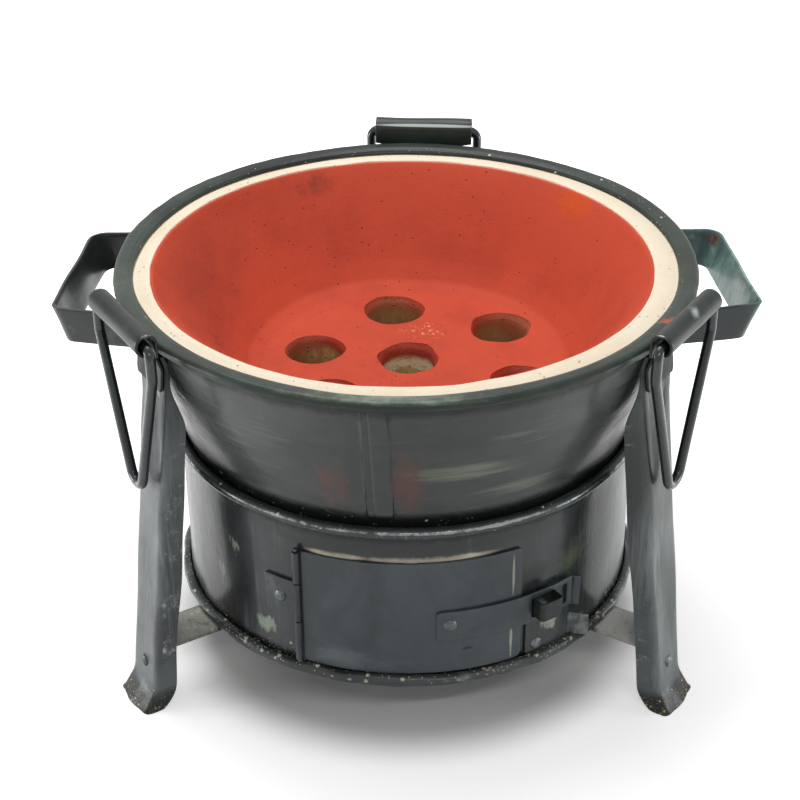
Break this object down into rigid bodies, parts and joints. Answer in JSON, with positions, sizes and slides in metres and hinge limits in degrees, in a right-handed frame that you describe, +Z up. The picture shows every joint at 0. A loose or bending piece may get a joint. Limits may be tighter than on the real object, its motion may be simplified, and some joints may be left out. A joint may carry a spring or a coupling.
{
  "type": "charcoal stove",
  "caption": "Round portable charcoal stove with a clay fire bowl, perforated grate, ash door, folded legs, side handles and hinged pot rests.",
  "frame": {"origin": "centre of the outline, on the surface that the feet stand on", "axes": "+Z up, +X to the right of the ash door, -Y out of the ash door"},
  "size_m": [0.361, 0.3246, 0.2313],
  "materials": {
    "dark_green_paint": "worn satin paint",
    "worn_paint": "scuffed paint",
    "dull_steel": "dull, spattered with cement",
    "dark_iron": "dark, painted",
    "fired_clay": "matte fired clay",
    "cement": "matte, trowelled"
  },
  "bodies": {
    "stove": {"upper_shell": "dark_green_paint", "rim_hoop": "dark_green_paint", "rim_wire": "dark_iron", "clay_liner": "fired_clay", "cement_packing": "cement", "lower_shell": "dark_green_paint", "waist_wire": "dark_iron", "base_pan": "dark_green_paint", "hinge_strap": "dark_green_paint", "hinge_pin": "dark_iron", "hinge_strap_rivet": "worn_paint", "hasp_staple": "dark_green_paint", "staple_rivet": "worn_paint", "side_handle_left": "worn_paint", "side_handle_right": "worn_paint", "handle_rivet_left_front": "worn_paint", "handle_rivet_left_rear": "worn_paint", "handle_rivet_right_front": "worn_paint", "handle_rivet_right_rear": "worn_paint", "leg_rear": "worn_paint", "base_strap_rear": "dull_steel", "pot_rest_clip_rear": "dark_green_paint", "leg_top_rivet_rear": "worn_paint", "leg_foot_rivet_rear": "worn_paint", "base_rivet_rear": "worn_paint", "leg_front_left": "worn_paint", "base_strap_front_left": "dull_steel", "pot_rest_clip_front_left": "dark_green_paint", "leg_top_rivet_front_left": "worn_paint", "leg_foot_rivet_front_left": "worn_paint", "base_rivet_front_left": "worn_paint", "leg_front_right": "worn_paint", "base_strap_front_right": "dull_steel", "pot_rest_clip_front_right": "dark_green_paint", "leg_top_rivet_front_right": "worn_paint", "leg_foot_rivet_front_right": "worn_paint", "base_rivet_front_right": "worn_paint"},
    "door": {"door": "dark_green_paint", "door_hasp": "dark_green_paint", "hasp_rivet": "worn_paint"},
    "pot_rest_rear": {"pot_rest_rod_rear": "dark_iron"},
    "pot_rest_front_left": {"pot_rest_rod_front_left": "dark_iron"},
    "pot_rest_front_right": {"pot_rest_rod_front_right": "dark_iron"}
  },
  "joints": [
    {"name": "door_hinge", "type": "hinge", "parent": "stove", "child": "door", "pos_m": [-0.05586, -0.1229, 0.0785], "axis": [0, 0, -1], "range_deg": [0, 135]},
    {"name": "pot_rest_rear_hinge", "type": "hinge", "parent": "stove", "child": "pot_rest_rear", "pos_m": [0.01102, 0.1453, 0.2241], "axis": [0.9976, -0.0698, 0], "range_deg": [-1.5, 269.5]},
    {"name": "pot_rest_front_left_hinge", "type": "hinge", "parent": "stove", "child": "pot_rest_front_left", "pos_m": [-0.13543, -0.09369, 0.2241], "axis": [-0.515, 0.8572, 0], "range_deg": [-1.5, 269.5]},
    {"name": "pot_rest_front_right_hinge", "type": "hinge", "parent": "stove", "child": "pot_rest_front_right", "pos_m": [0.13326, -0.0972, 0.2241], "axis": [-0.5373, -0.8434, 0], "range_deg": [-1.5, 269.5]}
  ]
}
